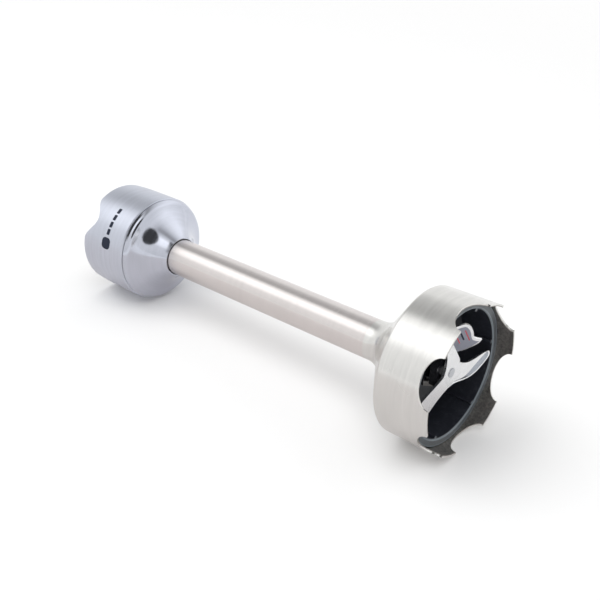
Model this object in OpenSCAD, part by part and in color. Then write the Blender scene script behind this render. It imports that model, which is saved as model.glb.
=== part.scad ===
// Stainless blending wand of a hand blender: coupling collar, shaft tube and bladed foot.
// Every module is drawn along +Z from the collar's rim, and lay_down() then turns the
// wand so that its axis lies along X, with the foot towards +X and the origin on the
// axis at the rim of the collar, where the motor handle seats.

/* [Overall] */
// Length from the collar's rim to the tips of the guard's teeth
wand_len = 211; // [205:1:225]
// Radius of the shaft tube
tube_r = 8.9; // [8.6:0.1:9.2]
// Wall of the shaft tube
tube_wall = 1; // [0.8:0.05:1]

/* [Foot] */
// Radius of the guard at the tips of its teeth
guard_r = 32.5; // [32:0.5:34]
// Depth of the guard from the tooth tips to its back edge
guard_depth = 25; // [25:0.5:28]
// Thickness of the guard's sheet steel
guard_wall = 1; // [0.8:0.1:1.2]
// Number of teeth on the guard, and of ribs in its liner
teeth = 6; // [4:1:8]
// Depth of the notches between the teeth
notch_depth = 6.2; // [5:0.1:7]
// Angle that one notch spans
notch_span = 37.8; // [30:0.1:40]
// Angle of the first tooth from the underside of the wand
tooth_turn = 35.7; // [0:0.1:60]

/* [Blade] */
// Thickness of the blade's sheet
blade_t = 1.1; // [1:0.1:1.5]
// Distance from the tooth tips to the blade's outer face
blade_setback = 9.8; // [9:0.1:11]
// Angle by which the first arm bends into the foot
arm_bend_in = 14; // [0:1:18]
// Angle by which the second arm bends towards the opening
arm_bend_out = 8; // [0:1:10]
// Angle by which the third arm's wing folds towards the opening
wing_fold = 45; // [30:1:50]

/* [Collar] */
// Outer radius of the collar
collar_r = 26.1; // [25.8:0.1:26.6]
// Length of the collar from its rim to the seam
collar_len = 29.2; // [28:0.1:31]
// Depth of the two scallops in the rim
scallop_depth = 6.7; // [4:0.1:8]
// Length of the polished dome from the seam to the tube
dome_len = 13.9; // [13:0.1:15]
// Radius of the socket that takes the motor handle
socket_r = 19.5; // [19:0.1:20]

/* [Drive] */
// Radius of the drive shaft
shaft_r = 3; // [3:0.1:3.2]
// Radial running clearance of the shaft in its bearings
running_gap = 0.04; // [0.02:0.01:0.08]
// Radius of the bore that takes the motor's drive dog
drive_bore_r = 4; // [3.8:0.1:4.2]

/* [Hidden] */
$fn = 96;
eps = 0.01;

// Stations along the axis, from the collar's rim
guard_back = wand_len - guard_depth;
neck_start = guard_back - 23;
fillet_r = 12;
fillet_turn = 56;
tube_bore = tube_r - tube_wall;
blade_face = wand_len - blade_setback;
blade_back = blade_face - blade_t;

// Guard and liner
guard_back_r = guard_r - 0.35;
edge_round = 1.5;
liner_gap = 0.15;
liner_wall = 3.3;
liner_rim = wand_len - 7.4;
liner_floor = guard_back - 0.5;
rib_w = 1.6;
rib_h = 1.1;

// Blade
rivet_r = 2.05;
hub_hex_r = 8.4;
hub_hex_len = 3.4;
hub_boss_r = 4.6;
hub_boss_len = 1.2;
arm_turns = [306, 73];
wing_turn = 213;
bend_start = 5;
bend_step = 0.08;
plate_reach = bend_start + 0.1;
wing_line = 6.9;
hub_r = 5.2;

// Lower bearing housing
housing_top = neck_start - 6;
housing_body_r = 9.6;
housing_flange = guard_back - 4;
housing_flange_r = 12;
spigot_end = neck_start + 8;
passage_r = shaft_r + 0.6;
nose_r = 10;
nose_end = wand_len - 17.2;
nose_start = wand_len - 23.5;
bush_r = 5;
bush_len = 12;
seal_r = 7;
seal_start = nose_end - 7.8;
retainer_start = nose_end - 3.8;
garter_r = 5.05;
garter_wire = 0.4;
garter_place = 3;
hub_start = nose_end - 2.2;
insert_bore = 6.9;
insert_r = min(tube_bore, tube_r - guard_wall);

// Collar and core
rim_r = collar_r - 0.5;
sleeve_bore = 24.8;
scallop_turn = 51;
scallop_half_turn = 27;
dome_start = collar_len + 0.4;
dome_end = dome_start + dome_len;
dome_wall = 1.2;
dome_rim_r = collar_r - 0.5;
shoulder_r = 3.6;
shoulder_from = 20;
shoulder_to = 70;
flare_to = 29;
shoulder_rise = shoulder_r * (sin(shoulder_to) - sin(shoulder_from));
flare_r = (dome_len - shoulder_rise) / (sin(shoulder_to) - sin(flare_to));
shoulder_c = [
    dome_rim_r - shoulder_r * cos(shoulder_from), dome_start - shoulder_r * sin(shoulder_from)];
flare_c = shoulder_c + (shoulder_r + flare_r) * [cos(shoulder_to), sin(shoulder_to)];
skirt_start = 23.8;
skirt_r = sleeve_bore - 0.1;
seal_ring_w = 0.45;
seal_ring_len = 1;
seal_ring_start = dome_end - 1.1;
core_r = 24.6;
core_start = 1.5;
core_floor = 18;
core_step = 23.7;
core_step_r = 23.4;
core_end = 26.5;
core_spigot_len = 4;
lug_h = 1.8;
lug_turn = 90;
lug_span = 24;
tower_r = 9;
tower_bore = 7;
tower_start = 4;
screw_ring_r = 13.5;
screw_turn = 30;
screw_r = 1.5;
screw_start = core_end - 6;
screw_head_r = 2.8;
screw_head_len = 1.8;
flange_t = 2;
coupler_r = 6;
coupler_start = 4.6;
coupler_end = 15.4;
shaft_top = 10.2;
drive_slots = 4;
drive_slot_w = 1.1;
drive_slot_depth = 1.2;
upper_bush_start = 16.6;
upper_bush_len = 10;
steady_places = [72, 118];
steady_len = 8;
steady_disc_len = 2.5;
pin_place = 12.8;
pin_r = 1;
pin_len = 11;
end_gap = 0.15;
clip_t = 0.8;
clip_r = shaft_r + 1.2;
groove_r = shaft_r - 0.3;
clip_places = [core_end + core_spigot_len + end_gap, housing_top - clip_t - end_gap];

// Turns the wand from standing on its rim to lying along X
module lay_down() {
    rotate([0, 90, 0])
        children();
}

// A plain ring or washer
module ring(start, len, r_out, r_in) {
    translate([0, 0, start])
        difference() {
            cylinder(h = len, r = r_out);
            translate([0, 0, -1])
                cylinder(h = len + 2, r = r_in);
        }
}

// A row of copies round the axis
module around(count, turn = 0) {
    for (i = [0:count - 1])
        rotate([0, 0, turn + i * 360 / count])
            children();
}

// Half section inside the guard's outline, moved in by t: neck, fillet, cone, round edge, skirt
module guard_section(t) {
    fillet_c = [tube_r + fillet_r, neck_start + 1];
    edge_c = [guard_back_r - edge_round, guard_back + edge_round * 0.6];
    difference() {
        union() {
            polygon([
                [0, neck_start - t], [tube_r - t, neck_start - t], [tube_r - t, fillet_c[1]],
                fillet_c + (fillet_r + t) * [-cos(fillet_turn), sin(fillet_turn)],
                edge_c + (edge_round - t) * [cos(fillet_turn), -sin(fillet_turn)],
                edge_c + [edge_round - t, 0], [guard_r - t, wand_len + t], [0, wand_len + t]]);
            translate(edge_c)
                circle(r = edge_round - t);
        }
        translate(fillet_c)
            circle(r = fillet_r + t);
    }
}

// One notch between two teeth, as a rounded opening cut from outside
module notch() {
    half_w = guard_r * sin(notch_span / 2);
    translate([0, 0, wand_len])
        rotate([0, 90, 0])
            linear_extrude(height = guard_r + 5)
                polygon(concat(
                    [[-2, -half_w], [0, -half_w]],
                    [for (a = [-81:9:81]) [notch_depth * cos(a), half_w * sin(a)]],
                    [[0, half_w], [-2, half_w]]));
}

module blade_guard() {
    color("silver") lay_down()
        difference() {
            rotate_extrude()
                difference() {
                    guard_section(0);
                    guard_section(guard_wall);
                }
            around(teeth, tooth_turn + 180 / teeth)
                notch();
        }
}

// Black cup that lines the guard, with one rib behind each tooth
module guard_liner() {
    outer = guard_r - guard_wall - liner_gap - 0.3;
    inner = outer - liner_wall;
    back_r = guard_back_r - guard_wall - 1.8;
    seat_r = 15.4;
    seat = guard_back - 9.2;
    color("#1c1c20") lay_down() {
        rotate_extrude()
            polygon([
                [housing_body_r + 0.1, seat], [seat_r, seat], [back_r, liner_floor],
                [outer, liner_floor + 1.6], [outer, liner_rim], [inner + 0.5, liner_rim],
                [inner, liner_rim - 0.5], [inner - 0.5, liner_floor + 3.4],
                [seat_r + 0.8, guard_back - 4], [housing_body_r + 0.1, guard_back - 4]]);
        around(teeth, tooth_turn)
            translate([inner - rib_h, -rib_w / 2, liner_floor + 4])
                cube([rib_h + 0.6, rib_w, liner_rim - liner_floor - 4.4]);
    }
}

module shaft_tube() {
    color("gainsboro") lay_down()
        ring(core_end, neck_start - core_end, tube_r, tube_bore);
}

// Threaded sleeve brazed inside the joint of tube and guard
module neck_insert() {
    color("darkgray") lay_down()
        ring(neck_start - 10, 16, insert_r, insert_bore);
}

// Black housing screwed into the neck, which clamps the liner and holds bush and seal
module bearing_housing() {
    color("#26262a") lay_down()
        difference() {
            union() {
                translate([0, 0, housing_top])
                    cylinder(h = spigot_end - housing_top, r = insert_bore);
                translate([0, 0, spigot_end - eps])
                    cylinder(h = housing_flange - spigot_end + eps, r = housing_body_r);
                translate([0, 0, housing_flange])
                    cylinder(h = nose_start - housing_flange, r = housing_flange_r);
                translate([0, 0, nose_start - eps])
                    cylinder(h = nose_end - nose_start + eps, r = nose_r, $fn = 6);
            }
            translate([0, 0, housing_top - 1])
                cylinder(h = wand_len, r = passage_r);
            translate([0, 0, housing_flange - bush_len])
                cylinder(h = bush_len, r = bush_r);
            translate([0, 0, seal_start])
                cylinder(h = nose_end - seal_start + 1, r = seal_r);
        }
}

module lower_bearing() {
    color("peru") lay_down()
        ring(housing_flange - bush_len, bush_len, bush_r, shaft_r + running_gap);
}

// Rubber lip seal with a groove for its garter spring
module shaft_seal() {
    color("#3a2a28") lay_down()
        rotate_extrude()
            difference() {
                translate([0, seal_start])
                    polygon([
                        [shaft_r + 0.06, 3.4], [shaft_r + 0.9, 1.4], [5, 1], [5, 0], [seal_r, 0],
                        [seal_r, 4], [5.6, 4], [5.6, 2.4], [4.6, 2.4], [4.3, 4]]);
                translate([garter_r, seal_start + garter_place])
                    circle(r = garter_wire + 0.02, $fn = 24);
            }
}

module garter_spring() {
    color("silver") lay_down()
        translate([0, 0, seal_start + garter_place])
            rotate_extrude()
                translate([garter_r, 0])
                    circle(r = garter_wire, $fn = 24);
}

module seal_retainer() {
    color("silver") lay_down()
        ring(retainer_start, 0.8, seal_r, 5.6);
}

// Two plastic bushes that steady the long shaft inside the tube
module steady_bushes() {
    color("whitesmoke") lay_down()
        for (place = steady_places)
            translate([0, 0, place])
                difference() {
                    union() {
                        cylinder(h = steady_len, r = shaft_r + 1.8);
                        cylinder(h = steady_disc_len, r = tube_bore);
                    }
                    translate([0, 0, -1])
                        cylinder(h = steady_len + 2, r = shaft_r + 2 * running_gap);
                    around(6)
                        translate([tube_bore - 1.4, 0, -1])
                            cylinder(h = steady_disc_len + 2, r = 0.8, $fn = 24);
                }
}

// Satin sleeve round the coupling, with a scallop on each side of its rim
module collar_sleeve() {
    color("lightsteelblue") lay_down()
        difference() {
            rotate_extrude()
                polygon(concat(
                    [[sleeve_bore, 0], [rim_r - 0.3, 0], [rim_r, 0.3]],
                    [for (i = [1:6]) [collar_r - (collar_r - rim_r) * pow(1 - i / 6, 2), 0.3 + i * 2]],
                    [[collar_r, collar_len - 0.8], [collar_r - 0.17, collar_len - 0.3],
                        [collar_r - 0.5, collar_len - 0.05], [collar_r - 0.8, collar_len],
                        [sleeve_bore, collar_len]]));
            rotate([0, 0, scallop_turn])
                scallops();
        }
}

// Two smooth waves cut across the rim, opposite each other
module scallops() {
    half_w = collar_r * sin(scallop_half_turn);
    rotate([0, -90, 0])
        translate([0, 0, -collar_r - 2])
            linear_extrude(height = 2 * collar_r + 4)
                polygon(concat(
                    [[-1, -half_w]],
                    [for (i = [-12:12]) [scallop_depth * (1 + cos(i * 15)) / 2 - eps, half_w * i / 12]],
                    [[-1, half_w]]));
}

// Half section inside the dome's outline, moved in by t: round shoulder, then a hollow flare
module dome_section(t, reach) {
    shoulder = shoulder_r - t;
    flare = flare_r + t;
    difference() {
        intersection() {
            translate([0, dome_start])
                square([reach, dome_len]);
            union() {
                polygon([
                    [0, skirt_start],
                    [shoulder_c[0] + shoulder * cos(shoulder_from), skirt_start],
                    shoulder_c + shoulder * [cos(shoulder_from), sin(shoulder_from)],
                    shoulder_c + shoulder * [cos(shoulder_to), sin(shoulder_to)],
                    flare_c - flare * [cos(flare_to), sin(flare_to)],
                    [0, flare_c[1] - flare * sin(flare_to)]]);
                translate(shoulder_c)
                    circle(r = shoulder);
            }
        }
        translate(flare_c)
            circle(r = flare);
    }
}

// Pressed dome with a skirt inside the sleeve, open round the tube's rubber ring
module collar_dome() {
    skirt_bore = skirt_r - dome_wall;
    color("silver") lay_down()
        rotate_extrude()
            difference() {
                union() {
                    translate([0, skirt_start])
                        square([skirt_r, dome_start - skirt_start + eps]);
                    dome_section(0, collar_r);
                }
                translate([0, skirt_start - 1])
                    square([skirt_bore, dome_start - skirt_start + 1 + eps]);
                dome_section(dome_wall, skirt_bore);
                translate([0, seal_ring_start])
                    square([tube_r + seal_ring_w, 3]);
                square([tube_r + 0.05, dome_end + 1]);
            }
}

// Thin gasket in the seam between sleeve and dome
module collar_gasket() {
    color("#202024") lay_down()
        ring(collar_len, dome_start - collar_len, collar_r - 0.9, skirt_r);
}

// Rubber ring where the tube leaves the dome
module tube_seal() {
    color("#202024") lay_down()
        ring(seal_ring_start, seal_ring_len, tube_r + seal_ring_w, tube_r);
}

// Black core: handle socket with bayonet lugs, floor, and a tower round the coupler
module coupling_core() {
    color("#202024") lay_down()
        difference() {
            union() {
                difference() {
                    union() {
                        translate([0, 0, core_start])
                            cylinder(h = core_step - core_start, r = core_r);
                        translate([0, 0, core_step - eps])
                            cylinder(h = core_end - core_step + eps, r = core_step_r);
                    }
                    translate([0, 0, core_start - 1])
                        cylinder(h = core_floor - core_start + 1, r = socket_r);
                }
                translate([0, 0, tower_start])
                    cylinder(h = core_floor - tower_start + 1, r = tower_r);
                translate([0, 0, core_end - eps])
                    cylinder(h = core_spigot_len + eps, r = tube_bore);
                around(3, lug_turn)
                    bayonet_lug();
            }
            translate([0, 0, tower_start - 1])
                cylinder(h = upper_bush_start - tower_start + 1, r = tower_bore);
            translate([0, 0, upper_bush_start - eps])
                cylinder(h = upper_bush_len + eps, r = bush_r);
            translate([0, 0, upper_bush_start])
                cylinder(h = wand_len, r = passage_r);
            around(3, screw_turn)
                translate([screw_ring_r, 0, screw_start])
                    cylinder(h = 7, r = screw_r);
            rotate([0, 0, scallop_turn])
                translate([0, 0, core_start])
                    scallops();
        }
}

// Lug under the socket's mouth that the handle's bayonet turns behind
module bayonet_lug() {
    rotate([0, 0, -lug_span / 2])
        rotate_extrude(angle = lug_span)
            polygon([
                [socket_r + 0.5, 5], [socket_r - lug_h, 6],
                [socket_r - lug_h, 8.5], [socket_r + 0.5, 9.5]]);
}

// Welded flange that ties the tube to the core
module tube_flange() {
    color("darkgray") lay_down()
        difference() {
            ring(core_end, flange_t, screw_ring_r + 4.5, tube_r);
            around(3, screw_turn)
                translate([screw_ring_r, 0, core_end - 1])
                    cylinder(h = flange_t + 2, r = screw_r);
        }
}

// Three hexagon-socket screws that hold the flange on the core
module flange_screws() {
    shank_len = core_end + flange_t - screw_start;
    color("silver") lay_down()
        around(3, screw_turn)
            translate([screw_ring_r, 0, screw_start])
                difference() {
                    union() {
                        cylinder(h = shank_len + eps, r = screw_r);
                        translate([0, 0, shank_len])
                            cylinder(h = screw_head_len, r = screw_head_r);
                    }
                    translate([0, 0, shank_len + 0.8])
                        cylinder(h = screw_head_len, r = 1.5, $fn = 6);
                }
}

module upper_bearing() {
    color("peru") lay_down()
        ring(upper_bush_start, upper_bush_len, bush_r, shaft_r + running_gap);
}

module top_thrust_washer() {
    color("ivory") lay_down()
        ring(coupler_end + end_gap, upper_bush_start - coupler_end - end_gap,
            bush_r + 0.8, shaft_r + 2 * running_gap);
}

// Long steel shaft with two clip grooves, turned down at the foot to carry the blade
module drive_shaft() {
    color("silver") lay_down()
        difference() {
            union() {
                translate([0, 0, shaft_top])
                    cylinder(h = blade_back - shaft_top, r = shaft_r);
                translate([0, 0, blade_back - eps])
                    cylinder(h = blade_t + 0.25 + eps, r = rivet_r);
            }
            for (place = clip_places)
                ring(place, clip_t, shaft_r + 1, groove_r);
            translate([0, 0, pin_place])
                rotate([90, 0, 0])
                    cylinder(h = 20, r = pin_r, center = true);
        }
}

// Points of a smooth closed curve through the given points
function smooth_loop(pts, steps = 4) =
    let (n = len(pts))
    [for (i = [0:n - 1]) for (j = [0:steps - 1])
        spline_point(pts[(i + n - 1) % n], pts[i], pts[(i + 1) % n], pts[(i + 2) % n], j / steps)];

// Point of a Catmull-Rom spline between b and c
function spline_point(a, b, c, d, t) =
    0.5 * (2 * b + (c - a) * t + (2 * a - 5 * b + 4 * c - d) * t * t
    + (3 * b - a - 3 * c + d) * t * t * t);

// Outlines of the two swept arms, each along +X: leaves with rounded tips
broad_arm = [
    [2, -4.2], [5, -3.8], [8, -3.5], [12, -3.3], [16.5, -3], [20, -1.9], [22.8, 0.4],
    [24.8, 3.6], [25, 6.2], [23.6, 8.2], [21, 8.9], [16.8, 7.9], [12.6, 6.5], [8.4, 5.7],
    [5, 5.4], [2, 5.2]];
slim_arm = [
    [2, -6.6], [5, -6], [8, -5.4], [12, -4.9], [16, -3.9], [19.5, -2.1], [22.5, 0.4],
    [25, 3], [25.9, 4.6], [25.6, 5.9], [24, 6.9], [21.4, 6.5], [18.5, 5.5], [15, 4.1],
    [10.8, 3.1], [6.8, 3.3], [2, 4]];

// An arm bent about the line where it leaves the blade's middle, positive into the foot
module bent_arm(outline, turn, bend) {
    hinge = bend > 0 ? blade_t - bend_step : bend_step;
    rotate([0, 0, turn])
        translate([bend_start, 0, hinge])
            rotate([0, bend, 0])
                translate([-bend_start, 0, bend > 0 ? -blade_t : 0])
                    linear_extrude(height = blade_t)
                        intersection() {
                            polygon(smooth_loop(outline));
                            translate([bend_start, -10])
                                square([30, 20]);
                        }
}

// A point turned about the axis
function turned(p, a) = [p[0] * cos(a) - p[1] * sin(a), p[0] * sin(a) + p[1] * cos(a)];

// Flat middle of the blade, with straight edges where the bent arms leave it
module blade_plate() {
    linear_extrude(height = blade_t)
        polygon([
            turned([plate_reach, -3.7], arm_turns[0]), turned([plate_reach, 5.3], arm_turns[0]),
            turned([plate_reach, -5.8], arm_turns[1]), turned([plate_reach, 3.3], arm_turns[1]),
            turned([3, -2], wing_turn)]);
}

// Third arm: flat and narrowing, with a wide wing folded towards the opening
module winged_arm() {
    linear_extrude(height = blade_t)
        polygon([
            [-2.3, -6.6], [0, -wing_line], [21.9, -wing_line], [21.5, -5.6], [19.5, -4.5],
            [16, -3.5], [12, -2.3], [9, -1], [7.2, 0.2], [5.5, 1.6], [4.3, 3], [3.6, 4.6]]);
    translate([0, -wing_line, blade_t])
        rotate([-wing_fold, 0, 0])
            mirror([0, 1, 0])
                translate([0, -0.3, -blade_t])
                    linear_extrude(height = blade_t)
                        polygon([
                            [5.8, 0], [4.8, 2.4], [5, 4.4], [5.6, 7.4], [6.5, 9.5], [8, 11],
                            [9.3, 9.7], [10.8, 8.6], [12.8, 8.7], [15.5, 9.1], [18.2, 9.1],
                            [20.4, 8.6], [21.8, 7.6], [22.2, 6], [22.2, 4], [21.6, 0]]);
}

module blade() {
    color("silver") lay_down()
        translate([0, 0, blade_back])
            difference() {
                union() {
                    blade_plate();
                    bent_arm(broad_arm, arm_turns[0], arm_bend_in);
                    bent_arm(slim_arm, arm_turns[1], -arm_bend_out);
                    rotate([0, 0, wing_turn])
                        winged_arm();
                }
                translate([0, 0, -3])
                    cylinder(h = 8, r = rivet_r);
            }
}

// Black moulded carrier with spanner flats that holds the blade on the shaft
module blade_hub() {
    hex_end = blade_back - hub_boss_len;
    color("#26262a") lay_down()
        difference() {
            union() {
                translate([0, 0, hub_start])
                    cylinder(h = hex_end - hub_hex_len - hub_start + eps, r = hub_r);
                translate([0, 0, hex_end - hub_hex_len])
                    cylinder(h = hub_hex_len, r = hub_hex_r, $fn = 6);
                translate([0, 0, hex_end - eps])
                    cylinder(h = hub_boss_len + eps, r = hub_boss_r);
            }
            translate([0, 0, hub_start - 1])
                cylinder(h = 12, r = shaft_r);
        }
}

module foot_thrust_washer() {
    color("ivory") lay_down()
        ring(hub_start - 0.6, 0.6, hub_r, shaft_r);
}

// Two open spring clips in the shaft's grooves, one beyond each bearing
module circlips() {
    color("dimgray") lay_down()
        for (place = clip_places)
            difference() {
                ring(place, clip_t, clip_r, groove_r);
                translate([0, -1.5, place - 1])
                    cube([clip_r + 1, 3, clip_t + 2]);
            }
}

// Coupler that the motor turns: a bore with four drive slots, pinned to the shaft
module drive_coupler() {
    socket_depth = shaft_top - coupler_start;
    color("whitesmoke") lay_down()
        difference() {
            ring(coupler_start, coupler_end - coupler_start, coupler_r, shaft_r);
            translate([0, 0, coupler_start - 1])
                cylinder(h = socket_depth + 1, r = drive_bore_r);
            around(drive_slots)
                translate([0, -drive_slot_w / 2, coupler_start - 1])
                    cube([drive_bore_r + drive_slot_depth, drive_slot_w, socket_depth + 1]);
            translate([0, 0, pin_place])
                rotate([90, 0, 0])
                    cylinder(h = 20, r = pin_r, center = true);
        }
}

module coupler_pin() {
    color("dimgray") lay_down()
        translate([0, 0, pin_place])
            rotate([90, 0, 0])
                cylinder(h = pin_len, r = pin_r, center = true);
}

blade_guard();
guard_liner();
shaft_tube();
neck_insert();
bearing_housing();
lower_bearing();
shaft_seal();
garter_spring();
seal_retainer();
steady_bushes();
collar_sleeve();
collar_dome();
collar_gasket();
tube_seal();
coupling_core();
tube_flange();
flange_screws();
upper_bearing();
top_thrust_washer();
drive_shaft();
blade();
blade_hub();
foot_thrust_washer();
circlips();
drive_coupler();
coupler_pin();
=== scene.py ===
"""Looks, ground blade, printed marks, stage and camera for a hand blender's blending wand."""

import math

import bmesh
import bpy
from mathutils import Matrix, Vector


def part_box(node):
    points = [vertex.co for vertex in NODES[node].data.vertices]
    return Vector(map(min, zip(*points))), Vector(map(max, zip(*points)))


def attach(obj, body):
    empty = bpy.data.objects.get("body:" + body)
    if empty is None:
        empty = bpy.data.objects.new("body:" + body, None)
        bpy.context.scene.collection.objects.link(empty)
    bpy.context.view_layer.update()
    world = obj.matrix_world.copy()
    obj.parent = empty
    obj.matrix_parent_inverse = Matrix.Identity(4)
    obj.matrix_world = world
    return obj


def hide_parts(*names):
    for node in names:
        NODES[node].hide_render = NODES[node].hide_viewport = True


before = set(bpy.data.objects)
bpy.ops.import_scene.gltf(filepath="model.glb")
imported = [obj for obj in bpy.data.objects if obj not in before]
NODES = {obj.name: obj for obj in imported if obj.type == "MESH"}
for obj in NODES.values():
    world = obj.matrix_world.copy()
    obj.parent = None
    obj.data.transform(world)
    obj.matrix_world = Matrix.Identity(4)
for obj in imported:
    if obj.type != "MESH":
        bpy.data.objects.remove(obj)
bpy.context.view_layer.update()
MM = 0.001

# Camera, in the wand's frame, in metres; the lens and the sensor are in mm
CAMERA_PLACE = Vector((0.35645, -0.27506, 0.20727))
CAMERA_LOOK = Vector((-0.5665, 0.6627, -0.4897))
CAMERA_UP = Vector((-0.3204, 0.3704, 0.8719))
CAMERA_LENS = 55.72
CAMERA_SENSOR = 36.0

# Floor. The wand's axis is level, so the floor that carries the collar and the wider guard
# is tilted. The floor seen in reflections is a darker copy, painted shade, lighter past the
# foot and behind the wand, painted light. Its changes of colour begin and end so many mm
# from the wand's origin.
FLOOR_TILT = math.radians(1.87)
FLOOR_SIZE = 24.0
FLOOR_MIDDLE = 0.1
FLOOR_COLOR = (0.95, 0.95, 0.95)
# The floor seen in reflections: darker than the seen floor, painted shade, and lighter past the
# foot and behind the wand, painted light.
MIRRORED_FLOOR_SHADE = (0.74, 0.715, 0.71)
MIRRORED_FAR_LIGHT = (0.93, 0.93, 0.93)
LIGHT_PAST_FOOT = (200, 280)
LIGHT_BEHIND_WAND = (5, 30)
FLOOR_FADE = (300, 1000)
BACKDROP = 1.0


# ---------------------------------------------------------------- node helpers

def new_material(name):
    """An empty material with a Principled shader."""
    material = bpy.data.materials.new(name)
    material.use_nodes = True
    tree = material.node_tree
    tree.nodes.clear()
    output = tree.nodes.new("ShaderNodeOutputMaterial")
    shader = tree.nodes.new("ShaderNodeBsdfPrincipled")
    tree.links.new(shader.outputs["BSDF"], output.inputs["Surface"])
    return material, tree, shader


def noise(tree, size, stretch=(1, 1, 1), detail=4.0, rough=0.55, distortion=0.0):
    """Noise in object space whose features are about `size` mm, drawn out by `stretch`."""
    place = tree.nodes.new("ShaderNodeTexCoord")
    scale = tree.nodes.new("ShaderNodeMapping")
    scale.inputs["Scale"].default_value = [1 / s for s in stretch]
    texture = tree.nodes.new("ShaderNodeTexNoise")
    texture.inputs["Scale"].default_value = 1 / (size * MM)
    texture.inputs["Detail"].default_value = detail
    texture.inputs["Roughness"].default_value = rough
    texture.inputs["Distortion"].default_value = distortion
    tree.links.new(place.outputs["Object"], scale.inputs["Vector"])
    tree.links.new(scale.outputs["Vector"], texture.inputs["Vector"])
    return texture.outputs["Fac"]


def remap(tree, value, low, high, from_low=0.3, from_high=0.7):
    """The value's range from_low..from_high turned into low..high."""
    node = tree.nodes.new("ShaderNodeMapRange")
    node.inputs["From Min"].default_value = from_low
    node.inputs["From Max"].default_value = from_high
    node.inputs["To Min"].default_value = low
    node.inputs["To Max"].default_value = high
    tree.links.new(value, node.inputs["Value"])
    return node.outputs["Result"]


def math_node(tree, operation, a, b):
    """A math node on two sockets or numbers."""
    node = tree.nodes.new("ShaderNodeMath")
    node.operation = operation
    for socket, value in zip(node.inputs, (a, b)):
        if isinstance(value, (int, float)):
            socket.default_value = value
        else:
            tree.links.new(value, socket)
    return node.outputs["Value"]


def blend_colors(tree, factor, first, second):
    """A mix of two colours by a factor socket; a colour may be a socket too."""
    node = tree.nodes.new("ShaderNodeMix")
    node.data_type = "RGBA"
    tree.links.new(factor, node.inputs["Factor"])
    for name, value in (("A", first), ("B", second)):
        socket = [s for s in node.inputs if s.name == name and s.type == "RGBA"][0]
        if isinstance(value, tuple):
            socket.default_value = (*value, 1)
        else:
            tree.links.new(value, socket)
    return [s for s in node.outputs if s.type == "RGBA"][0]


def bump(tree, height, depth_mm, strength=1.0, normal=None):
    """A bump of the given depth, laid over another normal if there is one."""
    node = tree.nodes.new("ShaderNodeBump")
    node.inputs["Strength"].default_value = strength
    node.inputs["Distance"].default_value = depth_mm * MM
    tree.links.new(height, node.inputs["Height"])
    if normal is not None:
        tree.links.new(normal, node.inputs["Normal"])
    return node.outputs["Normal"]


def scratch_lines(tree, size, width=0.004, stretch=(1, 1, 1)):
    """1 on thin wandering lines, 0 elsewhere."""
    field = noise(tree, size, stretch, detail=1.5, rough=0.4, distortion=0.3)
    away = math_node(tree, "ABSOLUTE", math_node(tree, "SUBTRACT", field, 0.5), 0)
    return remap(tree, away, 1.0, 0.0, 0.0, width)


def place_along(tree, axis="X"):
    """Place along an axis of the wand's frame, in mm."""
    place = tree.nodes.new("ShaderNodeTexCoord")
    parts = tree.nodes.new("ShaderNodeSeparateXYZ")
    tree.links.new(place.outputs["Object"], parts.inputs["Vector"])
    return math_node(tree, "DIVIDE", parts.outputs[axis], MM)


def place_radius(tree):
    """Distance from the wand's axis, in mm."""
    place = tree.nodes.new("ShaderNodeTexCoord")
    flat = tree.nodes.new("ShaderNodeVectorMath")
    flat.operation = "MULTIPLY"
    flat.inputs[1].default_value = (0, 1 / MM, 1 / MM)
    length = tree.nodes.new("ShaderNodeVectorMath")
    length.operation = "LENGTH"
    tree.links.new(place.outputs["Object"], flat.inputs[0])
    tree.links.new(flat.outputs["Vector"], length.inputs[0])
    return length.outputs["Value"]


# ---------------------------------------------------------------- finishes

def tuned(color, factor):
    """The colour made lighter or darker."""
    return tuple(min(1.0, c * factor) for c in color)


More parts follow.
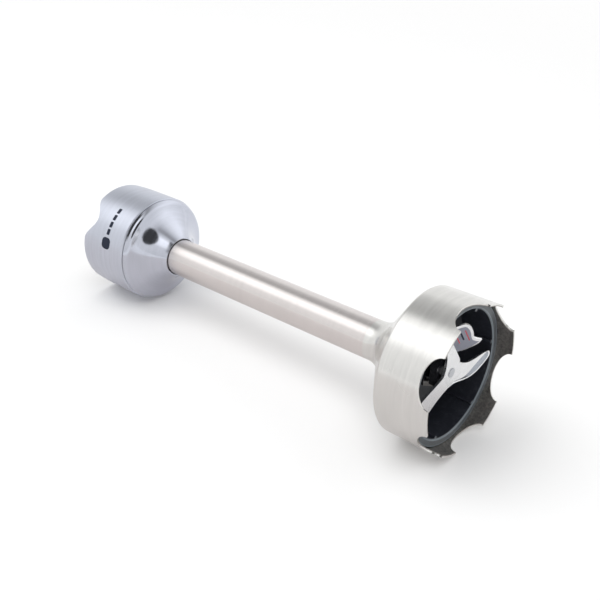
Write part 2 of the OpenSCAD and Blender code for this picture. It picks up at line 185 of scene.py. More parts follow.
def turned_steel(name, color, roughness, grain=0.3, anisotropy=0.6, depth=0.004, smudge=0.03,
                 scratches=0.06, contrast=1.0, inner=None):
    """Steel brushed or turned round the wand's axis. `inner` is (radius, place, colour) for an
    inside face beyond a place along the axis, painted darker as shade, mottled and rougher."""
    material, tree, shader = new_material(name)
    fine = noise(tree, grain, (1, 40, 40), detail=5, rough=0.7)
    broad = noise(tree, grain * 9, (1, 14, 14), detail=3)
    stain = noise(tree, 14, detail=3)
    lines = scratch_lines(tree, 30, stretch=(1, 2.5, 2.5))
    streaks = math_node(tree, "MULTIPLY", math_node(tree, "ADD", fine, broad), 0.5)
    tone = remap(tree, streaks, 0.0, 1.0, 0.35, 0.65)
    shade = blend_colors(tree, tone, tuned(color, 1 - 0.07 * contrast),
                         tuned(color, 1 + 0.05 * contrast))
    stained = remap(tree, stain, 0.0, 0.35, 0.52, 0.8)
    shade = blend_colors(tree, stained, shade, tuned(color, 0.9))
    rough = math_node(tree, "ADD", remap(tree, fine, roughness - 0.05 * contrast,
                                         roughness + 0.06 * contrast),
                      remap(tree, stain, 0, smudge))
    rough = math_node(tree, "ADD", rough, math_node(tree, "MULTIPLY", lines, scratches))
    # Inside the bell: painted shade, the base colour darkened in mottled patches, and more
    # roughness.
    if inner:
        radius, start, inside_shade_color = inner
        inside = remap(tree, place_radius(tree), 1, 0, radius, radius + 0.1)
        beyond = remap(tree, place_along(tree), 0, 1, start, start + 0.5)
        inside = math_node(tree, "MULTIPLY", inside, beyond)
        patches = noise(tree, 1.2, detail=6, rough=0.75)
        shaded_inside = blend_colors(tree, remap(tree, patches, 0, 1, 0.35, 0.65), tuned(inside_shade_color, 0.65),
                              tuned(inside_shade_color, 1.4))
        shade = blend_colors(tree, inside, shade, shaded_inside)
        rough = math_node(tree, "ADD", rough, math_node(tree, "MULTIPLY", inside, 0.12))
    tree.links.new(shade, shader.inputs["Base Color"])
    tree.links.new(rough, shader.inputs["Roughness"])
    normal = bump(tree, streaks, depth)
    normal = bump(tree, lines, -0.002, 0.5, normal)
    tree.links.new(normal, shader.inputs["Normal"])
    shader.inputs["Metallic"].default_value = 1.0
    shader.inputs["Anisotropic"].default_value = anisotropy
    shader.inputs["Anisotropic Rotation"].default_value = 0.25
    tangent = tree.nodes.new("ShaderNodeTangent")
    tangent.direction_type = "RADIAL"
    tangent.axis = "X"
    tree.links.new(tangent.outputs["Tangent"], shader.inputs["Tangent"])
    return material


def polished_steel(name, color, roughness, swirl=2.0, stretch=(1, 1, 1)):
    """Buffed steel with faint swirls, smudges and hair scratches."""
    material, tree, shader = new_material(name)
    fine = noise(tree, 0.35, stretch, detail=5, rough=0.7)
    wide = noise(tree, swirl, detail=3, distortion=0.6)
    stain = noise(tree, 9, detail=3)
    lines = scratch_lines(tree, 11, 0.005)
    tone = remap(tree, math_node(tree, "ADD", fine, wide), 0.0, 1.0, 0.7, 1.3)
    shade = blend_colors(tree, tone, tuned(color, 0.95), tuned(color, 1.04))
    tree.links.new(shade, shader.inputs["Base Color"])
    rough = math_node(tree, "ADD", remap(tree, stain, roughness - 0.02, roughness + 0.05),
                      remap(tree, fine, 0, 0.04))
    rough = math_node(tree, "ADD", rough, math_node(tree, "MULTIPLY", lines, 0.04))
    tree.links.new(rough, shader.inputs["Roughness"])
    tree.links.new(bump(tree, fine, 0.002), shader.inputs["Normal"])
    shader.inputs["Metallic"].default_value = 1.0
    return material


def moulded(name, color, worn, roughness, depth=0.01, specular=0.5, rim=None, coat=0.0):
    """Moulded plastic or rubber: fine spark texture, flow marks and rubbed patches. `rim` is
    (place, inner radius, outer radius, colour) of a rim face painted lighter, with its edges
    painted lighter still: a painted highlight."""
    material, tree, shader = new_material(name)
    spark = noise(tree, 0.18, detail=3, rough=0.6)
    flow = noise(tree, 6, (3, 1, 1), detail=3, distortion=0.5)
    rubbed = noise(tree, 2.2, detail=5, rough=0.7)
    lines = scratch_lines(tree, 7, 0.006)
    shade = blend_colors(tree, remap(tree, rubbed, 0.0, 1.0, 0.5, 0.72), color, worn)
    shade = blend_colors(tree, math_node(tree, "MULTIPLY", lines, 0.4), shade,
                         tuned(worn, 1.5))
    # Painted highlight: the rim face is painted lighter and its edges lighter still.
    if rim:
        place, inner_r, outer_r, pale = rim
        beyond = remap(tree, place_along(tree), 0, 1, place, place + 0.15)
        radius = place_radius(tree)
        edges = math_node(tree, "ADD", remap(tree, radius, 1, 0, inner_r + 0.2, inner_r + 0.45),
                          remap(tree, radius, 0, 1, outer_r - 0.6, outer_r - 0.3))
        shade = blend_colors(tree, beyond, shade, tuned(pale, 0.45))
        shade = blend_colors(tree, math_node(tree, "MULTIPLY", beyond, edges), shade, pale)
    tree.links.new(shade, shader.inputs["Base Color"])
    rough = math_node(tree, "ADD", remap(tree, flow, roughness - 0.06, roughness + 0.06),
                      remap(tree, rubbed, 0, 0.08))
    tree.links.new(rough, shader.inputs["Roughness"])
    normal = bump(tree, spark, depth)
    normal = bump(tree, flow, 0.02, 0.5, normal)
    tree.links.new(normal, shader.inputs["Normal"])
    shader.inputs["Specular IOR Level"].default_value = specular
    shader.inputs["Coat Weight"].default_value = coat
    shader.inputs["Coat Roughness"].default_value = 0.08
    return material


def sintered(name, color, dark, roughness):
    """Sintered bronze with open pores."""
    material, tree, shader = new_material(name)
    pores = noise(tree, 0.12, detail=4, rough=0.7)
    cloud = noise(tree, 2.5, detail=3)
    shade = blend_colors(tree, remap(tree, pores, 1.0, 0.0, 0.35, 0.5), color, dark)
    shade = blend_colors(tree, remap(tree, cloud, 0, 0.4), shade, tuned(color, 0.8))
    tree.links.new(shade, shader.inputs["Base Color"])
    tree.links.new(remap(tree, cloud, roughness - 0.05, roughness + 0.1),
                   shader.inputs["Roughness"])
    tree.links.new(bump(tree, pores, 0.02), shader.inputs["Normal"])
    shader.inputs["Metallic"].default_value = 1.0
    return material


def printed_ink(name, color, worn):
    """Pad-printed ink, thinner and paler in specks."""
    material, tree, shader = new_material(name)
    specks = noise(tree, 0.25, detail=5, rough=0.75)
    cloud = noise(tree, 1.4, detail=3)
    shade = blend_colors(tree, remap(tree, specks, 0.0, 1.0, 0.6, 0.8), color, worn)
    tree.links.new(shade, shader.inputs["Base Color"])
    tree.links.new(remap(tree, cloud, 0.35, 0.5), shader.inputs["Roughness"])
    tree.links.new(bump(tree, specks, 0.006), shader.inputs["Normal"])
    shader.inputs["Specular IOR Level"].default_value = 0.3
    return material


GUARD_WALL = 0.75
INSIDE_SHADE_DEPTH = 12
RIM_HIGHLIGHT_DEPTH = 0.45
RIM_SLACK = 0.02
GUARD_INNER_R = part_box("blade_guard")[1].y / MM - GUARD_WALL
LINER_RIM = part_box("guard_liner")[1].x / MM
LINER_RADII = [math.hypot(v.co.y, v.co.z) / MM for v in NODES["guard_liner"].data.vertices
               if v.co.x / MM > LINER_RIM - RIM_SLACK]

# The guard's inside face, some way in from the liner's rim, is painted darker: painted shade.
GUARD_STEEL = turned_steel("guard_brushed_steel", (0.775, 0.77, 0.75), 0.19, grain=0.28,
                           inner=(GUARD_INNER_R, LINER_RIM - INSIDE_SHADE_DEPTH, (0.37, 0.35, 0.33)))
TUBE_STEEL = turned_steel("tube_brushed_steel", (0.765, 0.725, 0.712), 0.22, grain=0.35,
                          depth=0.001, smudge=0.02, scratches=0.03, contrast=0.45)
COLLAR_STEEL = turned_steel("collar_satin_steel", (0.62, 0.65, 0.735), 0.32, grain=0.2,
                            anisotropy=0.4, depth=0.0015)
# Painted shade: the dome's base is set darker to dim the floor it reflects from below.
SHADED_DOME_STEEL = turned_steel("dome_spun_steel_painted_shade", (0.60, 0.625, 0.71), 0.085, grain=0.5,
                          anisotropy=0.2, depth=0.0006, scratches=0.08)
BLADE_STEEL = polished_steel("blade_steel", (0.80, 0.80, 0.81), 0.22)
# Painted shade: the ground strips take a steel painted much darker than the plain blade steel.
SHADED_GRIND_STEEL = polished_steel("blade_ground_steel_painted_shade", (0.38, 0.405, 0.455), 0.24, swirl=1.2)
# Painted highlight: the honed strips and the broad arm's face take a steel painted lighter.
HONED_HIGHLIGHT_STEEL = polished_steel("blade_honed_edge_painted_highlight", (0.93, 0.935, 0.95), 0.2)
# Painted shade: the wing's face takes a steel painted darker.
SHADED_WING_STEEL = polished_steel("blade_wing_steel_painted_shade", (0.33, 0.345, 0.41), 0.14)
# Painted shade: the shaft's steel is darker so that its end in the blade's hole looks shaded.
SHADED_SHAFT_STEEL = polished_steel("shaft_steel", (0.52, 0.53, 0.56), 0.2, stretch=(1, 20, 20))
PLAIN_STEEL = turned_steel("plain_steel", (0.62, 0.62, 0.63), 0.33, grain=0.25)
SPRING_STEEL = polished_steel("spring_steel", (0.5, 0.5, 0.52), 0.25)
# The liner's rim carries a painted highlight in the last colour below.
LINER_BLACK = moulded("liner_black_plastic", (0.019, 0.021, 0.029), (0.04, 0.044, 0.056), 0.32,
                      rim=(LINER_RIM - RIM_HIGHLIGHT_DEPTH, min(LINER_RADII), max(LINER_RADII),
                           (0.17, 0.20, 0.225)))
GLOSS_BLACK = moulded("gloss_black_plastic", (0.014, 0.014, 0.017), (0.03, 0.03, 0.036), 0.14,
                      depth=0.003, specular=1.0, coat=1.0)
CORE_BLACK = moulded("core_black_plastic", (0.014, 0.014, 0.016), (0.03, 0.03, 0.034), 0.42)
RUBBER = moulded("black_rubber", (0.016, 0.016, 0.017), (0.035, 0.035, 0.035), 0.6,
                 depth=0.02, specular=0.35)
SEAL_RUBBER = moulded("seal_rubber", (0.03, 0.018, 0.015), (0.06, 0.04, 0.035), 0.55,
                      depth=0.015, specular=0.4)
LIGHT_PLASTIC = moulded("light_plastic", (0.72, 0.71, 0.67), (0.6, 0.58, 0.53), 0.42)
BRONZE = sintered("sintered_bronze", (0.55, 0.33, 0.17), (0.12, 0.07, 0.04), 0.38)
INK = printed_ink("navy_ink", (0.004, 0.009, 0.028), (0.012, 0.022, 0.05))
RED_INK = printed_ink("red_ink", (0.55, 0.07, 0.10), (0.50, 0.16, 0.19))

FINISHES = {
    "blade_guard": GUARD_STEEL,
    "guard_liner": LINER_BLACK,
    "shaft_tube": TUBE_STEEL,
    "neck_insert": PLAIN_STEEL,
    "bearing_housing": GLOSS_BLACK,
    "lower_bearing": BRONZE,
    "shaft_seal": SEAL_RUBBER,
    "garter_spring": SPRING_STEEL,
    "seal_retainer": PLAIN_STEEL,
    "steady_bushes": LIGHT_PLASTIC,
    "collar_sleeve": COLLAR_STEEL,
    "collar_dome": SHADED_DOME_STEEL,
    "collar_gasket": RUBBER,
    "tube_seal": RUBBER,
    "coupling_core": CORE_BLACK,
    "tube_flange": PLAIN_STEEL,
    "flange_screws": SPRING_STEEL,
    "upper_bearing": BRONZE,
    "top_thrust_washer": LIGHT_PLASTIC,
    "drive_shaft": SHADED_SHAFT_STEEL,
    "blade": BLADE_STEEL,
    "blade_hub": GLOSS_BLACK,
    "foot_thrust_washer": LIGHT_PLASTIC,
    "circlips": SPRING_STEEL,
    "drive_coupler": LIGHT_PLASTIC,
    "coupler_pin": SPRING_STEEL,
}


def dress_nodes():
    """Gives every CAD node its finish."""
    for name, node in NODES.items():
        node.data.materials.clear()
        node.data.materials.append(FINISHES[name])


# ---------------------------------------------------------------- mesh helpers

CRISP_ANGLE = math.radians(9)
ROUNDED_ANGLE = math.radians(30)


def new_piece(name, mesh):
    """An object made from an edit mesh, which is used up."""
    data = bpy.data.meshes.new(name)
    mesh.to_mesh(data)
    mesh.free()
    piece = bpy.data.objects.new(name, data)
    bpy.context.scene.collection.objects.link(piece)
    return piece


def soften(piece, width_mm):
    """Smooth shading, crisp where faces turn by more than a little, with a small rounded
    edge wherever they meet sharply."""
    for polygon in piece.data.polygons:
        polygon.use_smooth = True
    piece.data.set_sharp_from_angle(angle=CRISP_ANGLE)
    edge = piece.modifiers.new("edges", "BEVEL")
    edge.width = width_mm * MM
    edge.segments = 2
    edge.limit_method = "ANGLE"
    edge.angle_limit = ROUNDED_ANGLE
    edge.harden_normals = True


# ---------------------------------------------------------------- blade
# The blade is drawn as the flat sheet it is stamped from, in mm, with its axis at the
# origin. Each arm has its own frame, turned about the axis, and is then bent. Angles are in
# degrees. A drop is how far the top is ground down, a strip how wide a ground face is. The
# hole's corners count from HOLE_TURN on, and the two halves of the middle meet at its corner
# 0 and its corner HOLE_SPLIT.

BLADE_T = 1.1
BLADE_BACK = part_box("blade_hub")[1].x / MM
SOFT_EDGE = 0.12
HOLE_R = 2.05
HOLE_POINTS = 24
HOLE_TURN = 22.8
HOLE_SPLIT = 16
BROAD_TURN = 306
SLIM_TURN = 73
WING_TURN = 213
BEND_START = 5
BROAD_BEND = 14
SLIM_BEND = -8
WING_FOLD = 45
WING_LINE = -6.9
BROAD_DROP = 0.2
EDGE_DROP = 0.5
SLIM_DROP = 0.5
WING_DROP = 0.35
BROAD_STRIP = 1.5
HONED_STRIP = 0.9
SLIM_STRIP = 0.9
WING_RIM = 1.1
BROAD_STRIP_ROOT = 1.0
HONED_STRIP_ROOT = 0.6
BROAD_TIP_FADE = 0.12
SLIM_TIP_FADE = 0.2
ROOT_GAP = 0.2
# Finish slots of the blade: plain steel; ground steel, painted shade; wing steel, painted
# shade; honed steel, painted highlight.
FLAT, GROUND_SHADE, POLISHED_SHADE, HONED_HIGHLIGHT = 0, 1, 2, 3

# Steps between two drawn points, once an outline or a grind line is smoothed
CURVE_STEPS = 4
LINE_STEPS = 12

# Where an arm's tip and its far root lie on the outlines below, counted in drawn points
# from 0
BROAD_TIP = 8
BROAD_ROOT = 14
SLIM_TIP = 10.5
SLIM_ROOT = 15.25

BROAD_ARM = [
    (2, -4.2), (5, -3.8), (8, -3.5), (12, -3.3), (16.5, -3), (20, -1.9), (22.8, 0.4),
    (24.8, 3.6), (25, 6.2), (23.6, 8.2), (21, 8.9), (16.8, 7.9), (12.6, 6.5), (8.4, 5.7),
    (5, 5.4), (2, 5.2)]
SLIM_ARM = [
    (2, -6.6), (5, -6), (8, -5.4), (12, -4.9), (16, -3.9), (19.5, -2.1), (22.5, 0.4),
    (25, 3), (25.9, 4.6), (25.6, 5.9), (24, 6.9), (21.4, 6.5), (18.5, 5.5), (15, 4.1),
    (10.8, 3.1), (6.8, 3.3), (2, 4)]
BROAD_GRIND = [(5, -2.8), (7.9, -2.6), (11, -2), (14, -1.4), (16.8, -0.6), (20, 0.8), (23, 3)]
SLIM_GRIND = [(5, -4.5), (9.6, -3.65), (12.8, -2), (15.5, 0.6), (19, 3.7), (21.2, 5.5)]
THIRD_ARM = [
    (21.9, -6.9), (21.5, -5.6), (19.5, -4.5), (16, -3.5), (12, -2.3), (9, -1), (7.2, 0.2),
    (5.5, 1.6), (4.3, 3), (3.6, 4.6)]
WING = [
    (5.8, 0), (4.8, 2.4), (5, 4.4), (5.6, 7.4), (6.5, 9.5), (8, 11), (9.3, 9.7), (10.8, 8.6),
    (12.8, 8.7), (15.5, 9.1), (18.2, 9.1), (20.4, 8.6), (21.8, 7.6), (22.2, 6), (22.2, 4),
    (21.6, 0)]


def curve_point(a, b, c, d, t):
    """A point of the Catmull-Rom curve from b to c."""
    return tuple(
        0.5 * (2 * b[k] + (c[k] - a[k]) * t
               + (2 * a[k] - 5 * b[k] + 4 * c[k] - d[k]) * t * t
               + (3 * b[k] - a[k] - 3 * c[k] + d[k]) * t ** 3)
        for k in (0, 1))


def smooth_loop(points):
    """A smooth curve through a closed loop of points."""
    n = len(points)
    out = []
    for i in range(n):
        near = [points[(i + k) % n] for k in (-1, 0, 1, 2)]
        out += [curve_point(*near, j / CURVE_STEPS) for j in range(CURVE_STEPS)]
    return out


def stretch(loop, first, last):
    """The part of a smoothed loop between two of the points it was drawn through."""
    return loop[int(first * CURVE_STEPS):int(last * CURVE_STEPS) + 1]


def along(points, count):
    """`count` points spread evenly along an open line, smoothed through its points."""
    padded = [points[0]] + points + [points[-1]]
    dense = []
    for near in zip(padded, padded[1:], padded[2:], padded[3:]):
        dense += [curve_point(*near, j / LINE_STEPS) for j in range(LINE_STEPS)]
    dense.append(points[-1])
    run = [0.0]
    for p, q in zip(dense, dense[1:]):
        run.append(run[-1] + math.dist(p, q))
    out = []
    for i in range(count):
        want = run[-1] * i / (count - 1)
        k = max(j for j in range(len(run)) if run[j] <= want + 1e-9)
        k = min(k, len(dense) - 2)
        t = (want - run[k]) / max(run[k + 1] - run[k], 1e-9)
        out.append(tuple(dense[k][m] + (dense[k + 1][m] - dense[k][m]) * t for m in (0, 1)))
    return out


def turn(point, degrees):
    """A point of the drawing turned about the axis."""
    a = math.radians(degrees)
    x, y = point
    return (x * math.cos(a) - y * math.sin(a), x * math.sin(a) + y * math.cos(a))


def row_point(x, y, z):
    """A point of the drawing, in mm, in the wand's frame, in metres."""
    return Vector((z * MM, y * MM, -x * MM))


class Sheet:
    """Collects panels of a sheet-metal part with shared corners, top and bottom."""

    def __init__(self):
        self.mesh = bmesh.new()
        self.corners = {}
        self.pairs = {}

    def corner(self, panel, point, drop=0.0):
        """Top and bottom corner for a point in the panel's own frame."""
        frame_turn, place = panel
        flat = turn(point, frame_turn)
        on_fold = place is None or place(point, 0) is None
        key = (round(flat[0], 3), round(flat[1], 3), None if on_fold else frame_turn)
        if key in self.corners:
            return self.corners[key]
        pair = []
        for z in (BLADE_T - drop, 0.0):
            if on_fold:
                x, y, height = point[0], point[1], z
            else:
                x, y, height = place(point, z)
            x, y = turn((x, y), frame_turn)
            pair.append(self.mesh.verts.new(row_point(x, y, BLADE_BACK + height)))
        self.corners[key] = tuple(pair)
        self.pairs[pair[0]] = pair[1]
        return self.corners[key]

    def face(self, corners, finish=FLAT):
        """A top face and the bottom face under it; repeated corners are dropped."""
        ring = []
        for c in corners:
            if not ring or ring[-1] is not c:
                ring.append(c)
        if ring[0] is ring[-1]:
            ring.pop()
        if len(ring) > 2:
            self.mesh.faces.new([c[0] for c in ring]).material_index = finish
            self.mesh.faces.new([c[1] for c in reversed(ring)])

    def strip(self, first, second, finish=FLAT):
        """Quads between two lines of corners."""
        for i in range(len(first) - 1):
            self.face([first[i], first[i + 1], second[i + 1], second[i]], finish)

    def walls(self):
        """Closes the sheet round its rim."""
        rim = [e for e in self.mesh.edges if len(e.link_faces) == 1]
        for edge in rim:
            a, b = edge.verts
            if a in self.pairs and b in self.pairs:
                loop = edge.link_loops[0]
                a, b = loop.vert, loop.link_loop_next.vert
                self.mesh.faces.new([b, a, self.pairs[a], self.pairs[b]])


def bent(start, degrees):
    """A bend of the arm beyond x = start, positive into the foot. It gives None for points
    on or before the bend, which stay in the flat sheet."""
    a = math.radians(degrees)
    hinge = BLADE_T if degrees > 0 else 0.0

    def place(point, z):
        dx, dz = point[0] - start, z - hinge
        if dx < 1e-3:
            return None
        return (start + dx * math.cos(a) + dz * math.sin(a), point[1],
                hinge - dx * math.sin(a) + dz * math.cos(a))
    return place


def folded(point, z):
    """Folds the wing about its line, towards the opening. A wing point is (along, out)."""
    a = math.radians(WING_FOLD)
    out, dz = point[1], z - BLADE_T
    return (point[0], WING_LINE - out * math.cos(a) + dz * math.sin(a),
            BLADE_T + out * math.sin(a) + dz * math.cos(a))


def inset(points, amount):
    """The inner points of an open outline, moved to its right by the amount."""
    out = []
    for i in range(1, len(points) - 1):
        a, b = Vector(points[i - 1]), Vector(points[i + 1])
        along_edge = (b - a).normalized()
        p = Vector(points[i]) + Vector((along_edge.y, -along_edge.x)) * amount
        out.append((p.x, p.y))
    return out


def strip_line(edge, grind, width):
    """Points a strip's width in from the edge, towards the grind line."""
    out = []
    for p, q in zip(edge, grind):
        step = Vector(q) - Vector(p)
        length = step.length
        if length > 1e-6:
            step = step / length * min(width, length * 0.5)
        out.append((p[0] + step.x, p[1] + step.y))
    return out


def broad_arm(sheet):
    """The broad arm, ground a little hollow, its groove painted dark as shade and the rest of
    its top painted bright as a highlight. Gives its corners at the bend: back, grind line,
    groove, honed strip, edge."""
    panel = (BROAD_TURN, bent(BEND_START, BROAD_BEND))
    loop = smooth_loop(BROAD_ARM)
    back = stretch(loop, 1, BROAD_TIP)
    front = stretch(loop, BROAD_TIP, BROAD_ROOT)[::-1]
    tip = back[-1]
    n = len(front)
    grind = along(BROAD_GRIND + [tip], n)
    inner = strip_line(front, grind, BROAD_STRIP)
    inner[0] = (BEND_START, front[0][1] - BROAD_STRIP_ROOT)
    outer = strip_line(front, grind, HONED_STRIP)
    outer[0] = (BEND_START, front[0][1] - HONED_STRIP_ROOT)
    inner[-1] = outer[-1] = tip
    fade = [min(1.0, (n - 1 - i) / (n * BROAD_TIP_FADE)) for i in range(n)]
    line = [sheet.corner(panel, p) for p in grind]
    groove = [sheet.corner(panel, p, BROAD_DROP * f) for p, f in zip(inner, fade)]
    edge = [sheet.corner(panel, p, EDGE_DROP * f) for p, f in zip(front, fade)]
    honed = [sheet.corner(panel, p, EDGE_DROP * f) for p, f in zip(outer, fade)]
    rest = [sheet.corner(panel, p) for p in back]
    sheet.face(rest + line[::-1][1:], HONED_HIGHLIGHT)
    sheet.strip(line, groove, HONED_HIGHLIGHT)
    sheet.strip(groove, honed, GROUND_SHADE)
    sheet.strip(honed, edge, HONED_HIGHLIGHT)
    return rest[0], line[0], groove[0], honed[0], edge[0]


def slim_arm(sheet):
    """The slim arm, ground along its outer side to the tip. Gives its corners at the bend:
    back, grind line, honed strip, edge."""
    panel = (SLIM_TURN, bent(BEND_START, SLIM_BEND))
    loop = smooth_loop(SLIM_ARM)
    front = stretch(loop, 1, SLIM_TIP)
    back = stretch(loop, SLIM_TIP, SLIM_ROOT)
    n = len(front)
    root = (BEND_START, (back[-1][1] + back[-2][1]) / 2)
    back = [p for p in back if p[0] > BEND_START + ROOT_GAP] + [root]
    grind = along(SLIM_GRIND + [front[-1]], n)
    full = 1 - SLIM_TIP_FADE
    fade = [1 - max(0.0, (i - n * full) / (n * SLIM_TIP_FADE)) for i in range(n)]
    edge = [sheet.corner(panel, p, SLIM_DROP * f) for p, f in zip(front, fade)]
    line = [sheet.corner(panel, p) for p in grind[:-1]] + [edge[-1]]
    inner = strip_line(front, grind, SLIM_STRIP)
    honed = [sheet.corner(panel, p, SLIM_DROP * f) for p, f in zip(inner, fade)]
    honed[-1] = edge[-1]
    rest = [sheet.corner(panel, p) for p in back[1:]]
    sheet.strip(edge, honed, HONED_HIGHLIGHT)
    sheet.strip(honed, line, GROUND_SHADE)
    sheet.face(line + rest)
    return rest[-1], line[0], honed[0], edge[0]


def middle_and_third_arm(sheet, broad, slim):
    """The middle, in two halves round its hole, and the third arm. Gives the two corners
    between which the wing is folded."""
    broad_back, broad_line, broad_groove, broad_honed, broad_edge = broad
    slim_back, slim_line, slim_honed, slim_edge = slim
    sheet.face([broad_groove, broad_honed, slim_honed, slim_line], GROUND_SHADE)
    sheet.face([broad_honed, broad_edge, slim_edge, slim_honed], HONED_HIGHLIGHT)
    panel = (WING_TURN, None)
    fold_start = sheet.corner(panel, (WING[0][0], WING_LINE))
    fold_end = sheet.corner(panel, (WING[-1][0], WING_LINE))
    arm = [sheet.corner(panel, p) for p in THIRD_ARM]
    fold_foot = sheet.corner(panel, (0, WING_LINE))
    hole = []
    for i in range(HOLE_POINTS):
        a = math.radians(HOLE_TURN + i * 360 / HOLE_POINTS)
        hole.append(sheet.corner((0, None), (HOLE_R * math.cos(a), HOLE_R * math.sin(a))))
    sheet.face([slim_line, slim_back, fold_foot, fold_start, fold_end] + arm
               + hole[HOLE_SPLIT::-1])
    sheet.face([arm[-1], broad_back, broad_line, broad_groove, slim_line, hole[0]]
               + hole[:HOLE_SPLIT - 1:-1])
    return fold_start, fold_end


def folded_wing(sheet, start, end):
    """The wing on the third arm, its face painted dark as shade inside a plain steel rim that
    shows bright round its edge.
    """
    panel = (WING_TURN, folded)
    rim = [sheet.corner(panel, p, WING_DROP) for p in WING[1:-1]]
    inside = [sheet.corner(panel, p) for p in inset(WING, WING_RIM)]
    sheet.strip([start] + rim + [end], [start] + inside + [end])
    sheet.face([start] + inside + [end], POLISHED_SHADE)


def build_blade():
    """The three-armed blade, ground along its cutting edges."""
    sheet = Sheet()
    broad = broad_arm(sheet)
    slim = slim_arm(sheet)
    fold_start, fold_end = middle_and_third_arm(sheet, broad, slim)
    folded_wing(sheet, fold_start, fold_end)
    sheet.walls()
    bmesh.ops.remove_doubles(sheet.mesh, verts=sheet.mesh.verts, dist=1e-7)
    bmesh.ops.recalc_face_normals(sheet.mesh, faces=sheet.mesh.faces)
    blade = new_piece("ground_blade", sheet.mesh)
    soften(blade, SOFT_EDGE)
    for finish in (BLADE_STEEL, SHADED_GRIND_STEEL, SHADED_WING_STEEL, HONED_HIGHLIGHT_STEEL):
        blade.data.materials.append(finish)
    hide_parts("blade")
    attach(blade, "rotor")


# ---------------------------------------------------------------- printed marks
# A plain pad-printed badge and a row of dashes on the collar, and plain bars on the wing.
# A bar is its start, its end and its width in the wing's own frame.

BADGE_TURN = 251.7
BADGE_R = 2.9
BADGE_ROUNDNESS = 0.7
DASH_TURNS = (239.0, 230.5, 222.0, 213.5)
DASH_HALF_ACROSS = 1.5
DASH_HALF_ALONG = 1.0
DASH_ROUNDNESS = 0.5
MARK_PLACE = 17.0
INK_LIFT = 0.03
INK_ROOT = 0.05
INK_RINGS = 4
CORNER_STEPS = 8
RED_BARS = [((11, 2.4), (18.5, 2.4), 0.45), ((11, 6.4), (18.5, 6.4), 0.45)]
DARK_BARS = [((12.5, 4.4), (17.5, 4.4), 0.7)]


def rounded_box(half_across, half_along, roundness):
    """Outline of a rounded rectangle, across and along the wand."""
    r = roundness * min(half_across, half_along)
    out = []
    for cx, cy, start in ((1, 1, 0), (-1, 1, 90), (-1, -1, 180), (1, -1, 270)):
        for i in range(CORNER_STEPS + 1):
            a = math.radians(start + 90 * i / CORNER_STEPS)
            out.append((cx * (half_across - r) + r * math.cos(a),
                        cy * (half_along - r) + r * math.sin(a)))
    return out


def printed_patch(mesh, outline, place, degrees, radius):
    """A thin patch wrapped on a cylinder round the wand's axis."""
    def point(across, along_axis, r):
        a = math.radians(degrees) + across / radius
        return Vector(((place + along_axis) * MM, r * math.sin(a) * MM, -r * math.cos(a) * MM))

    top = radius + INK_LIFT
    centre = mesh.verts.new(point(0, 0, top))
    rings = []
    for k in range(1, INK_RINGS + 1):
        f = k / INK_RINGS
        rings.append([mesh.verts.new(point(x * f, y * f, top)) for x, y in outline])
    rings.append([mesh.verts.new(point(x, y, radius - INK_ROOT)) for x, y in outline])
    n = len(outline)
    for i in range(n):
        j = (i + 1) % n
        mesh.faces.new([centre, rings[0][i], rings[0][j]])
        for a, b in zip(rings, rings[1:]):
            mesh.faces.new([a[i], b[i], b[j], a[j]])
    mesh.faces.new(rings[-1][::-1])


def wing_bar(mesh, start, end, width):
    """A thin printed bar on the folded wing between two points of its own frame."""
    a, b = Vector(start), Vector(end)
    side = Vector((-(b - a).y, (b - a).x)).normalized() * width / 2
    corners = [a - side, b - side, b + side, a + side]
    levels = []
    for z in (BLADE_T - INK_ROOT, BLADE_T + INK_LIFT):
        ring = []
        for corner in corners:
            x, y, height = folded(corner, z)
            x, y = turn((x, y), WING_TURN)
            ring.append(mesh.verts.new(row_point(x, y, BLADE_BACK + height)))
        levels.append(ring)
    low, high = levels
    mesh.faces.new(high)
    mesh.faces.new(low[::-1])
    for i in range(4):
        j = (i + 1) % 4
        mesh.faces.new([low[i], low[j], high[j], high[i]])


def build_wing_marks():
    """Plain printed bars on the wing: two red ones and a dark one between them."""
    for name, ink, bars in (("wing_bars_red", RED_INK, RED_BARS),
                            ("wing_bar_dark", INK, DARK_BARS)):
        mesh = bmesh.new()
        for start, end, width in bars:
            wing_bar(mesh, start, end, width)
        bmesh.ops.recalc_face_normals(mesh, faces=mesh.faces)
        mark = new_piece(name, mesh)
        mark.data.materials.append(ink)
        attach(mark, "rotor")


def build_mark():
    """The badge and the dashes on the collar."""
    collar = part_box("collar_sleeve")
    radius = (collar[1].y - collar[0].y) / 2 / MM
    badge = rounded_box(BADGE_R, BADGE_R, BADGE_ROUNDNESS)
    dash = rounded_box(DASH_HALF_ACROSS, DASH_HALF_ALONG, DASH_ROUNDNESS)
    mesh = bmesh.new()
    printed_patch(mesh, badge, MARK_PLACE, BADGE_TURN, radius)
    for degrees in DASH_TURNS:
        printed_patch(mesh, dash, MARK_PLACE, degrees, radius)
    bmesh.ops.recalc_face_normals(mesh, faces=mesh.faces)
    mark = new_piece("printed_mark", mesh)
    mark.data.materials.append(INK)
    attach(mark, "wand")


# ---------------------------------------------------------------- stage

def floor_up():
    """The direction square to the tilted floor."""
    return Vector((math.sin(FLOOR_TILT), 0, math.cos(FLOOR_TILT)))


